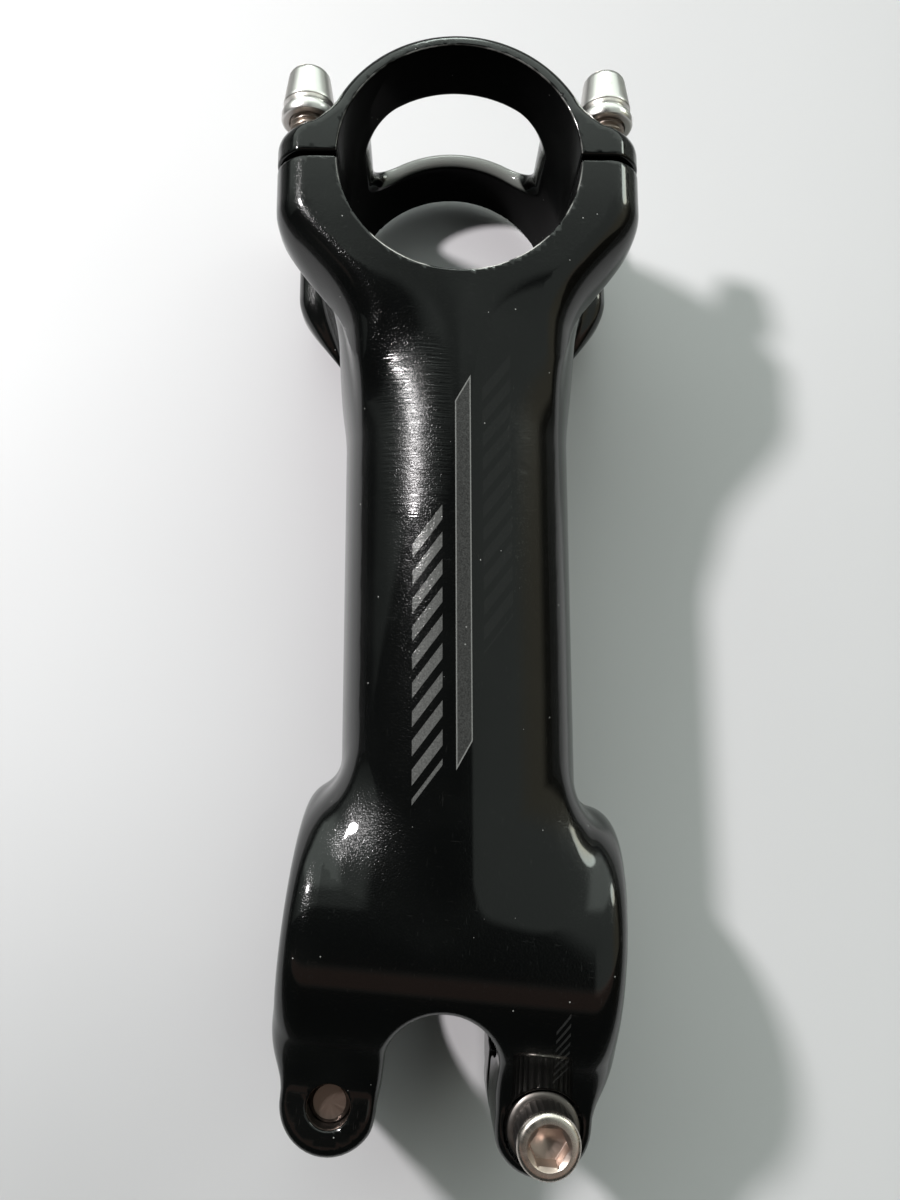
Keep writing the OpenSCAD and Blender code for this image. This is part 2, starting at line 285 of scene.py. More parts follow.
def faceplate_distance(points):
    """The faceplate: ring, ears, pads, window and bolt holes."""
    x, y, z = stem_coordinates(points)
    side = np.abs(y) - CLAMP_HALF
    back = LENGTH + SPLIT_HALF_GAP
    ring = clip(np.hypot(x - LENGTH, z) - BAR_R - FACE_WALL, side, RING_RIM)
    ears = clip(ear_profile(y, z, 1.0), side, EAR_SIDE_CORNER)
    ears = clip(ears, x - EAR_SEAT_X + SEAT_SINK, EAR_TOP_EDGE)
    pad = clip(np.abs(z) - CLAMP_MID_HEIGHT, x - (back + EAR_HEIGHT - 2.0), 1.2)
    pad = clip(pad, side, RING_RIM)
    solid = join(join(ring, pad, 2.0), ears, RING_BLEND)
    solid = clip(solid, side, 0.3)
    solid = clip(solid, back - x, FINE_EDGE)
    solid = cut(solid, np.hypot(x - LENGTH, z) - BAR_R, BORE_EDGE)
    window = rounded_box(y, z, WINDOW_HALF_WIDTH, WINDOW_REACH, WINDOW_CORNER)
    window = np.maximum(window, LENGTH + 6.0 - x)
    solid = cut(solid, window, WINDOW_EDGE)
    from_axis = np.hypot(np.abs(y) - EAR_BOLT_Y, np.abs(z) - EAR_BOLT_Z)
    solid = cut(solid, from_axis - CLEAR_R, 0.3)
    return cut(solid, np.maximum(from_axis - 4.0, EAR_SEAT_X - SEAT_SINK - x), 0.3)


# ---- Meshes from distance fields ------------------------------------------------


def gradient(distance, points, step):
    """The field's slope, from one step each way along each axis."""
    slopes = []
    for axis in range(3):
        shift = np.zeros(3)
        shift[axis] = step
        slopes.append((distance(points + shift) - distance(points - shift)) / (2 * step))
    return np.stack(slopes, axis=1)


def settle(distance, points, rounds):
    """Moves points onto the surface along the field's slope."""
    for _ in range(rounds):
        slope = gradient(distance, points, 0.01)
        size = np.maximum((slope * slope).sum(axis=1), 0.05)
        step = np.clip(distance(points) / size, -0.4, 0.4)
        points = points - slope * step[:, None]
    return points


def even_out(distance, points, edges, rounds):
    """Slides points along the surface towards the middle of their neighbours."""
    both_ways = np.concatenate([edges, edges[:, ::-1]])
    total = len(points)
    count = np.maximum(np.bincount(both_ways[:, 0], minlength=total), 1)
    for _ in range(rounds):
        middle = np.empty_like(points)
        for axis in range(3):
            far_ends = points[both_ways[:, 1], axis]
            middle[:, axis] = np.bincount(both_ways[:, 0], far_ends, total) / count
        points = settle(distance, points + 0.5 * (middle - points), 1)
    return points


def outward(distance, points):
    """Unit normals that point out of the solid."""
    slope = gradient(distance, points, 0.02)
    return slope / np.maximum(np.linalg.norm(slope, axis=1), 1e-9)[:, None]


def read_points(mesh):
    """A mesh's points, in millimetres."""
    flat = np.empty(3 * len(mesh.vertices), np.float32)
    mesh.vertices.foreach_get("co", flat)
    return flat.reshape(-1, 3).astype(float) * METRE


def read_edges(mesh):
    """The two point numbers of each of a mesh's edges."""
    flat = np.empty(2 * len(mesh.edges), np.int32)
    mesh.edges.foreach_get("vertices", flat)
    return flat.reshape(-1, 2)


def write_points(mesh, points):
    """Writes points in millimetres back to a mesh in metres."""
    mesh.vertices.foreach_set("co", (points / METRE).astype(np.float32).ravel())
    mesh.update()


def split_bent_edges(mesh, distance, bend):
    """Halves each edge whose two ends face more than the bend apart, and settles the new points."""
    normals = outward(distance, read_points(mesh))
    edges = read_edges(mesh)
    facing = (normals[edges[:, 0]] * normals[edges[:, 1]]).sum(axis=1)
    chosen = np.nonzero(facing < math.cos(bend))[0]
    work = bmesh.new()
    work.from_mesh(mesh)
    work.edges.ensure_lookup_table()
    bent = [work.edges[i] for i in chosen.tolist()]
    bmesh.ops.subdivide_edges(work, edges=bent, cuts=1, use_grid_fill=True)
    work.to_mesh(mesh)
    work.free()
    write_points(mesh, settle(distance, read_points(mesh), 3))


def surface_mesh(name, distance, low, high, cell, bend, levels):
    """A mesh of the surface where the distance field is zero, finer where the surface bends."""
    counts = np.ceil((high - low) / cell).astype(int) + 1
    axes = [low[i] + cell * np.arange(counts[i]) for i in range(3)]
    lattice = np.stack(np.meshgrid(*axes, indexing="ij"), axis=-1).reshape(-1, 3)
    values = distance(lattice).reshape(counts)
    grid = openvdb.FloatGrid(background=1.0)
    grid.copyFromArray(values.astype(np.float32))
    points, quads = grid.convertToQuads(isovalue=0.0)
    points = settle(distance, low + points.astype(float) * cell, 3)
    normals = outward(distance, points)
    first_side = points[quads[:, 1]] - points[quads[:, 0]]
    second_side = points[quads[:, 2]] - points[quads[:, 1]]
    if (np.cross(first_side, second_side) * normals[quads[:, 0]]).sum() < 0:
        quads = quads[:, ::-1]
    mesh = bpy.data.meshes.new(name)
    mesh.from_pydata((points / METRE).tolist(), [], quads.tolist())
    write_points(mesh, even_out(distance, read_points(mesh), read_edges(mesh), 3))
    for _ in range(levels):
        split_bent_edges(mesh, distance, bend)
    points = settle(distance, even_out(distance, read_points(mesh), read_edges(mesh), 2), 3)
    write_points(mesh, points)
    mesh.polygons.foreach_set("use_smooth", np.ones(len(mesh.polygons), bool))
    mesh.normals_split_custom_set_from_vertices(outward(distance, points).tolist())
    piece = bpy.data.objects.new(name, mesh)
    bpy.context.collection.objects.link(piece)
    return piece


# ---- Meshes from stacked rings --------------------------------------------------

SEGMENTS = 96
ANGLES = np.linspace(0.0, 2 * math.pi, SEGMENTS, endpoint=False)


def circle(radius, height):
    """A round ring at one height."""
    return np.full(SEGMENTS, float(radius)), np.full(SEGMENTS, float(height))


def hexagon(across_flats, height):
    """A six-sided ring at one height."""
    folded = (ANGLES + math.pi / 6) % (math.pi / 3) - math.pi / 6
    return across_flats / 2 / np.cos(folded), np.full(SEGMENTS, float(height))


def ring_piece(name, rings, seat, axis, closed=True):
    """Joins rings into a skin. A closed skin ends in a point at each end; an open one loops round."""
    count = len(rings)
    points = []
    for radius, height in rings:
        points.append(np.stack([radius * np.cos(ANGLES), radius * np.sin(ANGLES), height], axis=1))
    points = np.concatenate(points)
    faces = []
    spans = count - 1 if closed else count
    for i in range(spans):
        lower = i * SEGMENTS
        upper = (i + 1) % count * SEGMENTS
        for j in range(SEGMENTS):
            k = (j + 1) % SEGMENTS
            faces.append((lower + j, lower + k, upper + k, upper + j))
    if closed:
        ends = [(0.0, 0.0, rings[0][1].mean()), (0.0, 0.0, rings[-1][1].mean())]
        points = np.concatenate([points, ends])
        bottom, top = len(points) - 2, len(points) - 1
        last = (count - 1) * SEGMENTS
        for j in range(SEGMENTS):
            k = (j + 1) % SEGMENTS
            faces.append((bottom, k, j))
            faces.append((top, last + j, last + k))
    mesh = bpy.data.meshes.new(name)
    mesh.from_pydata((points / METRE).tolist(), [], faces)
    mesh.polygons.foreach_set("use_smooth", np.ones(len(faces), bool))
    mesh.set_sharp_from_angle(angle=math.radians(28))
    piece = bpy.data.objects.new(name, mesh)
    bpy.context.collection.objects.link(piece)
    placed = Vector((0, 0, 1)).rotation_difference(Vector(axis)).to_matrix().to_4x4()
    placed.translation = Vector(seat / METRE)
    piece.matrix_world = placed
    return piece


def thread_rings(length, plain):
    """Rings up a threaded shank, from its chamfered tip to a short plain neck below the head."""
    rings = [circle(0.001, -length), circle(BOLT_R - 0.55, -length)]
    step = PITCH / 8
    for height in np.arange(-length + 0.15, -plain, step):
        phase = (height / PITCH - ANGLES / (2 * math.pi)) % 1.0
        groove = np.clip(2.2 * np.abs(2 * phase - 1) - 0.5, 0.0, 1.0)
        fade = min(1.0, max(0.0, (-plain - height) / PITCH))
        from_tip = min(1.0, (height + length) / 0.5)
        crest = BOLT_R - 0.5 * (1 - from_tip)
        rings.append((crest - THREAD_DEPTH * groove * fade, np.full(SEGMENTS, height)))
    rings.append(circle(BOLT_R, -plain))
    rings.append(circle(BOLT_R, -0.12))
    return rings


def socket_rings(top, across_flats, depth, rim):
    """Rings from a head's flat top down a hexagonal socket to its drilled point."""
    corner = across_flats / 2 / math.cos(math.pi / 6)
    return [
        circle(rim, top),
        circle(corner + 0.22, top),
        circle(corner + 0.05, top - 0.12),
        hexagon(across_flats, top - 0.3),
        hexagon(across_flats, top - depth + 0.06),
        hexagon(across_flats - 0.12, top - depth),
        circle(across_flats / 2 - 0.25, top - depth - 0.02),
        circle(0.5, top - depth - 0.55),
        circle(0.001, top - depth - 0.6),
    ]


def faceplate_bolt(name, seat, axis):
    """Tapered head with a groove above its foot, standing on its washer."""
    rings = thread_rings(FACE_BOLT_LENGTH, FACE_NECK)
    rings += [circle(2.62, 0.0), circle(2.9, 0.0), circle(3.0, 0.08), circle(3.0, 0.38)]
    rings += [circle(3.12, 0.46), circle(3.4, 0.56), circle(3.48, 0.7), circle(3.48, 0.9)]
    rings += [circle(3.42, 1.2), circle(2.88, 4.7), circle(2.8, 5.0), circle(2.62, 5.28)]
    rings += [circle(2.5, 5.38)]
    rings += socket_rings(FACE_HEAD_HEIGHT, KEY_SIZE, FACE_SOCKET_DEPTH, 2.45)
    return ring_piece(name, rings, seat + axis * (FACE_STANDOFF + FACE_WASHER_HEIGHT), axis)


def faceplate_washer(name, seat, axis):
    """Thick round washer, which stands off its seat with the bolt."""
    inner = WASHER_BORE_R
    rings = [
        circle(inner, 0.15), circle(inner + 0.15, 0.0), circle(3.3, 0.0), circle(3.58, 0.1),
        circle(3.7, 0.36), circle(3.7, 1.05), circle(3.6, 1.38), circle(3.3, 1.64),
        circle(3.05, 1.74), circle(2.98, 1.79), circle(inner + 0.15, 1.79), circle(inner, 1.64),
    ]
    return ring_piece(name, rings, seat + axis * FACE_STANDOFF, axis, closed=False)


def steerer_bolt(name, seat, axis):
    """Straight knurled socket head on a thin washer."""
    rings = thread_rings(STEERER_BOLT_LENGTH, STEERER_NECK)
    knurl = KNURL_DEPTH * np.cos(KNURL_TEETH * ANGLES)
    rings += [circle(2.62, 0.0), circle(3.35, 0.0), circle(3.55, 0.12)]
    for height in np.linspace(0.3, 3.9, 7):
        rings.append((3.62 + knurl, np.full(SEGMENTS, height)))
    rings += [circle(3.64, 4.05), circle(3.68, 4.15), circle(3.68, 4.4), circle(3.55, 4.72)]
    rings += [circle(3.3, 4.93), circle(3.1, 4.99)]
    rings += socket_rings(STEERER_HEAD_HEIGHT, KEY_SIZE, STEERER_SOCKET_DEPTH, 3.0)
    return ring_piece(name, rings, seat + axis * STEERER_WASHER_HEIGHT, axis)


def steerer_washer(name, seat, axis):
    """Thin round washer, seated on the lobe."""
    inner = WASHER_BORE_R
    rings = [
        circle(inner, 0.12), circle(inner + 0.1, 0.0), circle(4.1, 0.0), circle(4.27, 0.15),
        circle(4.3, 0.4), circle(4.22, 0.75), circle(3.98, 0.93), circle(3.7, 0.99),
        circle(inner + 0.1, 0.99), circle(inner, 0.87),
    ]
    return ring_piece(name, rings, seat, axis, closed=False)


# ---- Materials ------------------------------------------------------------------


class Shader:
    """A material's node tree, with short calls for the nodes used here."""

    def __init__(self, name):
        self.material = bpy.data.materials.new(name)
        self.material.use_nodes = True
        self.tree = self.material.node_tree
        self.surface = self.tree.nodes["Principled BSDF"]
        self.place = self.node("ShaderNodeTexCoord").outputs["Object"]

    def node(self, kind, settings=None, **inputs):
        made = self.tree.nodes.new(kind)
        for key, value in (settings or {}).items():
            setattr(made, key, value)
        for key, value in inputs.items():
            self.feed(made.inputs[key.replace("_", " ")], value)
        return made

    def feed(self, socket, value):
        if isinstance(value, bpy.types.NodeSocket):
            self.tree.links.new(value, socket)
        else:
            socket.default_value = value

    def math(self, operation, *values):
        made = self.tree.nodes.new("ShaderNodeMath")
        made.operation = operation
        for socket, value in zip(made.inputs, values):
            self.feed(socket, value)
        return made.outputs[0]

    def dot(self, vector):
        made = self.node("ShaderNodeVectorMath", {"operation": "DOT_PRODUCT"})
        self.feed(made.inputs[0], self.place)
        made.inputs[1].default_value = vector
        return made.outputs["Value"]

    def stretched(self, scale):
        made = self.node("ShaderNodeVectorMath", {"operation": "MULTIPLY"})
        self.feed(made.inputs[0], self.place)
        made.inputs[1].default_value = scale
        return made.outputs["Vector"]

    def noise(self, vector, scale, detail=3.0):
        made = self.node("ShaderNodeTexNoise", Vector=vector, Scale=scale, Detail=detail)
        return made.outputs["Fac"]

    def ramp(self, value, low, high, out_low=0.0, out_high=1.0):
        made = self.node("ShaderNodeMapRange", {"interpolation_type": "SMOOTHSTEP"})
        for index, item in enumerate((value, low, high, out_low, out_high)):
            self.feed(made.inputs[index], item)
        return made.outputs[0]

    def mix(self, share, first, second):
        made = self.node("ShaderNodeMix", {"data_type": "RGBA"})
        self.feed(made.inputs[0], share)
        self.feed(made.inputs[6], first)
        self.feed(made.inputs[7], second)
        return made.outputs[2]

    def bump(self, height, distance, strength=1.0):
        made = self.node("ShaderNodeBump", Height=height, Distance=distance, Strength=strength)
        return made.outputs["Normal"]

    def surface_inputs(self, **inputs):
        for key, value in inputs.items():
            self.feed(self.surface.inputs[key.replace("_", " ")], value)


STRIPE = {"edges": (-1.25, 0.70), "ends": (22.6, 67.8)}
LEFT_BARS = {"edges": (2.3, 5.9), "ends": (25.0, 57.0), "pitch": 3.4}
RIGHT_BARS = {"edges": (-6.3, -2.7), "ends": (31.5, 65.0), "pitch": 3.0}
TICKS = {"edges": (-12.2, -10.6), "ends": (-28.5, -21.0), "pitch": 1.1}
BAR_LEAN = 1.3
END_LEAN = 1.75
SCUFF = {"edges": (3.0, 9.0), "ends": (53.0, 74.0)}


class Paint(Shader):
    """The gloss black finish, with its graphics, wear and bare bores, in stem millimetres."""

    def __init__(self, name):
        super().__init__(name)
        self.along = self.measure(ALONG, STEM_ORIGIN @ ALONG)
        self.above = self.measure(SQUARE, STEM_ORIGIN @ SQUARE)
        self.beside = self.measure(SIDE, 0.0)
        self.near = self.ramp(self.beside, -6.0, -8.0)

    def measure(self, direction, offset):
        return self.math("SUBTRACT", self.dot([float(v) * METRE for v in direction]), float(offset))

    def band(self, value, low, high, soft=0.03):
        rise = self.ramp(value, low - soft, low + soft)
        fall = self.ramp(value, high + soft, high - soft)
        return self.math("MULTIPLY", rise, fall)

    def patch(self, layout, lean, soft=0.03):
        """A strip along the stem, on the near side, with slanted ends."""
        slanted = self.math("MULTIPLY_ADD", self.above, lean, self.along)
        strip = self.band(self.above, *layout["edges"], soft)
        strip = self.math("MULTIPLY", strip, self.band(slanted, *layout["ends"], soft))
        return self.math("MULTIPLY", strip, self.near)

    def bars(self, layout, filled):
        """Slanted bars that repeat along a strip."""
        slanted = self.math("MULTIPLY_ADD", self.above, BAR_LEAN, self.along)
        phase = self.math("FRACT", self.math("DIVIDE", slanted, layout["pitch"]))
        return self.math("MULTIPLY", self.patch(layout, BAR_LEAN), self.band(phase, 0.02, filled, 0.012))

    def round_gap(self, across, centre, radius):
        """How far outside a bore's wall a point is, for a bore across the second measure."""
        squares = self.math("ADD", self.square(across, centre), self.square(self.above, 0.0))
        return self.math("SUBTRACT", self.math("SQRT", squares), radius)

    def square(self, value, centre):
        return self.math("POWER", self.math("ABSOLUTE", self.math("SUBTRACT", value, centre)), 2.0)


def gloss_black(name):
    """The forged parts' finish, with its stripe, bars, ticks, wear and bare bores."""
    paint = Paint(name)
    grain = paint.noise(paint.place, 5200.0, 1.0)
    cloud = paint.noise(paint.place, 55.0)
    stripe = paint.patch(STRIPE, END_LEAN)
    inner = {
        "edges": (STRIPE["edges"][0] + 0.14, STRIPE["edges"][1] - 0.14),
        "ends": (STRIPE["ends"][0] + 0.3, STRIPE["ends"][1] - 0.3),
    }
    outline = paint.math("SUBTRACT", stripe, paint.patch(inner, END_LEAN))
    left_bars = paint.bars(LEFT_BARS, 0.56)
    right_bars = paint.bars(RIGHT_BARS, 0.6)
    ticks = paint.bars(TICKS, 0.4)
    silver_ink = paint.math("MAXIMUM", stripe, left_bars)
    silver_ink = paint.math("MAXIMUM", silver_ink, paint.math("MULTIPLY", ticks, 0.22))
    silver_ink = paint.math("MAXIMUM", silver_ink, paint.math("MULTIPLY", right_bars, 0.035))

    bar_gap = paint.round_gap(paint.along, LENGTH, BAR_R)
    bare = paint.ramp(bar_gap, 0.1, 0.04)
    fore = paint.measure((1.0, 0.0, 0.0), 0.0)
    steerer_gap = paint.math("ADD", paint.square(fore, 0.0), paint.square(paint.beside, 0.0))
    steerer_gap = paint.math("SUBTRACT", paint.math("SQRT", steerer_gap), STEERER_R)
    bare = paint.math("MAXIMUM", bare, paint.ramp(steerer_gap, 0.1, 0.04))

    rim = paint.band(bar_gap, 0.04, 0.2, 0.03)
    behind = paint.ramp(paint.along, LENGTH - 2.0, LENGTH - 9.0, 0.25, 1.0)
    rim = paint.math("MULTIPLY", rim, behind)
    face = paint.ramp(paint.math("ABSOLUTE", paint.beside), CLAMP_HALF - 0.35, CLAMP_HALF - 0.15)
    chafed = paint.ramp(paint.noise(paint.place, 240.0, 4.0), 0.42, 0.56)
    worn = paint.math("MULTIPLY", paint.math("MULTIPLY", rim, face), chafed)

    dust = paint.node("ShaderNodeTexVoronoi", Vector=paint.place, Scale=360.0)
    dust = paint.ramp(dust.outputs["Distance"], 0.038, 0.027)

    # the window's cut edge is painted a lighter grey band, and a thin film dulls patches of the finish
    beside_window = paint.math("ABSOLUTE", paint.beside)
    lip = paint.band(beside_window, WINDOW_HALF_WIDTH - 0.6, WINDOW_HALF_WIDTH + 1.2, 0.2)
    lip = paint.math("MULTIPLY", lip, paint.ramp(paint.along, LENGTH + 8.0, LENGTH + 9.0))
    lip = paint.math("MULTIPLY", lip, paint.band(bar_gap, 0.15, 2.1, 0.1))
    film = paint.ramp(paint.noise(paint.stretched((1.0, 1.6, 0.8)), 75.0, 5.0), 0.48, 0.72, 0.0, 0.004)

    long_scratch = paint.noise(paint.stretched((90.0, 900.0, 900.0)), 6.0, 2.0)
    cross_scratch = paint.noise(paint.stretched((1500.0, 60.0, 120.0)), 4.0, 2.0)
    hair = paint.math("MAXIMUM", paint.ramp(long_scratch, 0.70, 0.74), paint.ramp(cross_scratch, 0.72, 0.76))
    scuffed = paint.patch(SCUFF, 0.0, 2.4)
    rubbed = paint.noise(paint.stretched((4200.0, 160.0, 260.0)), 1.0, 4.0)
    scuffed = paint.math("MULTIPLY", scuffed, paint.ramp(rubbed, 0.25, 0.6, 0.4, 1.0))

    black = paint.mix(cloud, (0.0008, 0.0009, 0.0010, 1.0), (0.0020, 0.0022, 0.0022, 1.0))
    ink = paint.mix(grain, (0.04, 0.04, 0.04, 1.0), (0.21, 0.21, 0.206, 1.0))
    ink = paint.mix(paint.math("MULTIPLY", stripe, 0.55), ink, black)
    ink = paint.mix(outline, ink, (0.26, 0.26, 0.255, 1.0))
    colour = paint.mix(silver_ink, black, ink)
    colour = paint.mix(paint.math("MULTIPLY", hair, 0.02), colour, (0.35, 0.35, 0.34, 1.0))
    colour = paint.mix(film, colour, (0.5, 0.53, 0.5, 1.0))
    colour = paint.mix(paint.math("MULTIPLY", lip, 0.5), colour, (0.34, 0.35, 0.33, 1.0))
    colour = paint.mix(worn, colour, (0.55, 0.54, 0.52, 1.0))
    colour = paint.mix(paint.math("MULTIPLY", dust, 0.45), colour, (0.7, 0.7, 0.68, 1.0))

    sheen = paint.ramp(cloud, 0.3, 0.8, 0.14, 0.22)
    sheen = paint.math("MAXIMUM", sheen, paint.math("MULTIPLY", bare, 0.55))
    shine = paint.ramp(cloud, 0.3, 0.8, 0.018, 0.04)
    shine = paint.math("ADD", shine, paint.math("MULTIPLY", scuffed, 0.2))
    shine = paint.math("ADD", shine, film)
    coat = paint.math("SUBTRACT", 1.0, paint.math("MULTIPLY", bare, 0.93))
    coat = paint.math("MULTIPLY", coat, paint.math("SUBTRACT", 1.0, paint.math("MULTIPLY", silver_ink, 0.6)))
    coat = paint.math("MULTIPLY", coat, paint.math("SUBTRACT", 1.0, paint.math("MULTIPLY", scuffed, 0.25)))
    base_bump = paint.bump(grain, 0.00004, 1.0)
    hair_bump = paint.bump(hair, 0.000004, 0.6)
    scuff_height = paint.math("MULTIPLY", rubbed, scuffed)
    coat_bump = paint.node(
        "ShaderNodeBump", Height=scuff_height, Distance=0.0001, Strength=1.0, Normal=hair_bump
    )
    paint.surface_inputs(
        Base_Color=colour,
        Metallic=paint.math("MULTIPLY", silver_ink, 0.3),
        Roughness=sheen,
        Specular_IOR_Level=paint.ramp(bare, 0.0, 1.0, 0.12, 0.03),
        Normal=base_bump,
        Coat_Weight=coat,
        Coat_Roughness=shine,
        Coat_Normal=coat_bump.outputs["Normal"],
    )
    return paint.material


class Steel(Shader):
    """Turned and plated steel, measured in millimetres up and out from the piece's own axis."""

    def __init__(self, name):
        super().__init__(name)
        self.height = self.dot((0.0, 0.0, METRE))
        flat = self.stretched((METRE, METRE, 0.0))
        self.radius = self.length(flat)
        self.angle = self.math("ARCTAN2", self.axis(flat, "Y"), self.axis(flat, "X"))

    def length(self, vector):
        made = self.node("ShaderNodeVectorMath", {"operation": "LENGTH"})
        self.feed(made.inputs[0], vector)
        return made.outputs["Value"]

    def axis(self, vector, letter):
        return self.node("ShaderNodeSeparateXYZ", Vector=vector).outputs[letter]

    def pack(self, x, y, z):
        made = self.node("ShaderNodeCombineXYZ")
        for socket, value in zip(made.inputs, (x, y, z)):
            self.feed(socket, value)
        return made.outputs["Vector"]


def steel(name, pale, dark, roughness, knurl_darkness, painted_socket_shade):
    """Plated steel: pale where it was turned, darker below the head and on a knurl, with painted shade in
    the socket.
    """
    metal = Steel(name)
    turned = metal.noise(metal.pack(metal.radius, 0.0, metal.height), 7.0, 2.0)
    streaks = metal.pack(metal.math("MULTIPLY", metal.angle, 2.2), 0.0, 0.0)
    drawn = metal.noise(streaks, 1.4, 2.0)
    grime = metal.noise(metal.place, 520.0, 4.0)
    scratch = metal.noise(metal.stretched((2600.0, 260.0, 500.0)), 1.0, 2.0)
    scratch = metal.ramp(scratch, 0.67, 0.72)
    below = metal.ramp(metal.height, 0.1, -0.1)
    wall = metal.math("MULTIPLY", metal.ramp(metal.radius, 3.45, 3.55), metal.ramp(metal.height, 4.3, 4.0))
    # painted shade: the socket's inside is painted darker, where shade falls in the recess
    inside = metal.math("MULTIPLY", metal.ramp(metal.radius, 2.7, 2.4), metal.ramp(metal.height, 0.5, 1.0))
    dark_tone_and_painted_shade = metal.math("MAXIMUM", below, metal.math("MULTIPLY", inside, painted_socket_shade))
    dark_tone_and_painted_shade = metal.math("MAXIMUM", dark_tone_and_painted_shade, metal.math("MULTIPLY", wall, knurl_darkness))
    dark_tone_and_painted_shade = metal.math("MAXIMUM", dark_tone_and_painted_shade, metal.ramp(grime, 0.64, 0.8, 0.0, 0.5))
    colour = metal.mix(dark_tone_and_painted_shade, pale, dark)
    colour = metal.mix(metal.math("MULTIPLY", wall, knurl_darkness), colour, (0.13, 0.12, 0.115, 1.0))
    rough = metal.ramp(drawn, 0.3, 0.7, roughness - 0.04, roughness + 0.06)
    rough = metal.math("ADD", rough, metal.math("MULTIPLY", dark_tone_and_painted_shade, 0.14))
    grooves = metal.bump(turned, 0.000016, 0.35)
    nicks = metal.node("ShaderNodeBump", Height=scratch, Distance=0.000006, Strength=0.4, Normal=grooves)
    metal.surface_inputs(
        Base_Color=colour, Metallic=1.0, Roughness=rough, Normal=nicks.outputs["Normal"]
    )
    return metal.material


# ---- Pieces ---------------------------------------------------------------------


def place(piece, node, material):
    """Gives a piece its material and puts it on its CAD node."""
    piece.data.materials.append(material)
    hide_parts(node)
    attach(piece, node)


def node_box(node, margin=1.2):
    """A node's corners in millimetres, with room round them."""
    low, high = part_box(node)
    return np.array(low) * METRE - margin, np.array(high) * METRE + margin


black = gloss_black("gloss_black_paint")
silver = steel("satin_steel", (0.95, 0.93, 0.90, 1.0), (0.36, 0.31, 0.27, 1.0), 0.30, 0.0, 0.5)
# the clamp bolts' warm tint is partly the steel's own colour and partly a painted reflection of the warm
# clothing below the camera
warm_tinted_steel = steel("socket_screw_steel", (0.90, 0.82, 0.75, 1.0), (0.44, 0.33, 0.28, 1.0), 0.26, 1.0, 0.75)
# the clamp washers are a darker, rougher steel than the bolts
darker_washer_steel = steel("washer_steel", (0.55, 0.51, 0.48, 1.0), (0.22, 0.19, 0.17, 1.0), 0.32, 0.6, 0.0)

BODY_CELL = 0.8
PLATE_CELL = 0.6
BEND = math.radians(14)
levels = 2
body_box = node_box("stem_body")
forging = surface_mesh("forged_body", body_distance, *body_box, BODY_CELL, BEND, levels)
place(forging, "stem_body", black)
plate_box = node_box("faceplate")
plate = surface_mesh("front_plate", faceplate_distance, *plate_box, PLATE_CELL, BEND, levels)
place(plate, "faceplate", black)

for vertical, side in EAR_CORNERS:
    corner = f"{vertical}_{side}"
    seat, axis = seat_of(f"faceplate_bolt_{corner}_turn")
    bolt = faceplate_bolt(f"plate_bolt_{corner}", seat, axis)
    place(bolt, f"faceplate_bolt_{corner}", silver)
    washer = faceplate_washer(f"plate_washer_{corner}", seat, axis)
    place(washer, f"faceplate_washer_{corner}", silver)

for level in ("upper", "lower"):
    seat, axis = seat_of(f"steerer_bolt_{level}_turn")
    bolt = steerer_bolt(f"clamp_bolt_{level}", seat, axis)
    place(bolt, f"steerer_bolt_{level}", warm_tinted_steel)
    washer = steerer_washer(f"clamp_washer_{level}", seat, axis)
    place(washer, f"steerer_washer_{level}", darker_washer_steel)

# ---- Stage ----------------------------------------------------------------------

LENS = 27.9
SENSOR = 36.0
CAMERA_TILT = math.radians(-9.07)
CAMERA_TURN = math.radians(-1.71)
CAMERA_OFFSET = np.array([0.72, -54.98, 138.37])


def add_camera():
    """Camera looking across the bike at the stem's right side, with the bar clamp uppermost."""
    plane = np.stack([-SQUARE, -ALONG, SIDE], axis=1)
    turn_vector = Vector((CAMERA_TILT, CAMERA_TURN, 0.0))
    small_turn = np.array(Quaternion(turn_vector.normalized(), turn_vector.length).to_matrix())
    to_world = plane @ small_turn.T
    spot = BAR_CENTRE - to_world @ CAMERA_OFFSET
    camera = bpy.data.objects.new("camera", bpy.data.cameras.new("camera"))
    bpy.context.collection.objects.link(camera)
    placed = Matrix(to_world @ np.diag([1.0, -1.0, -1.0])).to_4x4()
    placed.translation = Vector(spot / METRE)
    camera.matrix_world = placed
    camera.data.sensor_width = SENSOR
    camera.data.lens = LENS
    camera.data.clip_start = 0.005
    bpy.context.scene.camera = camera


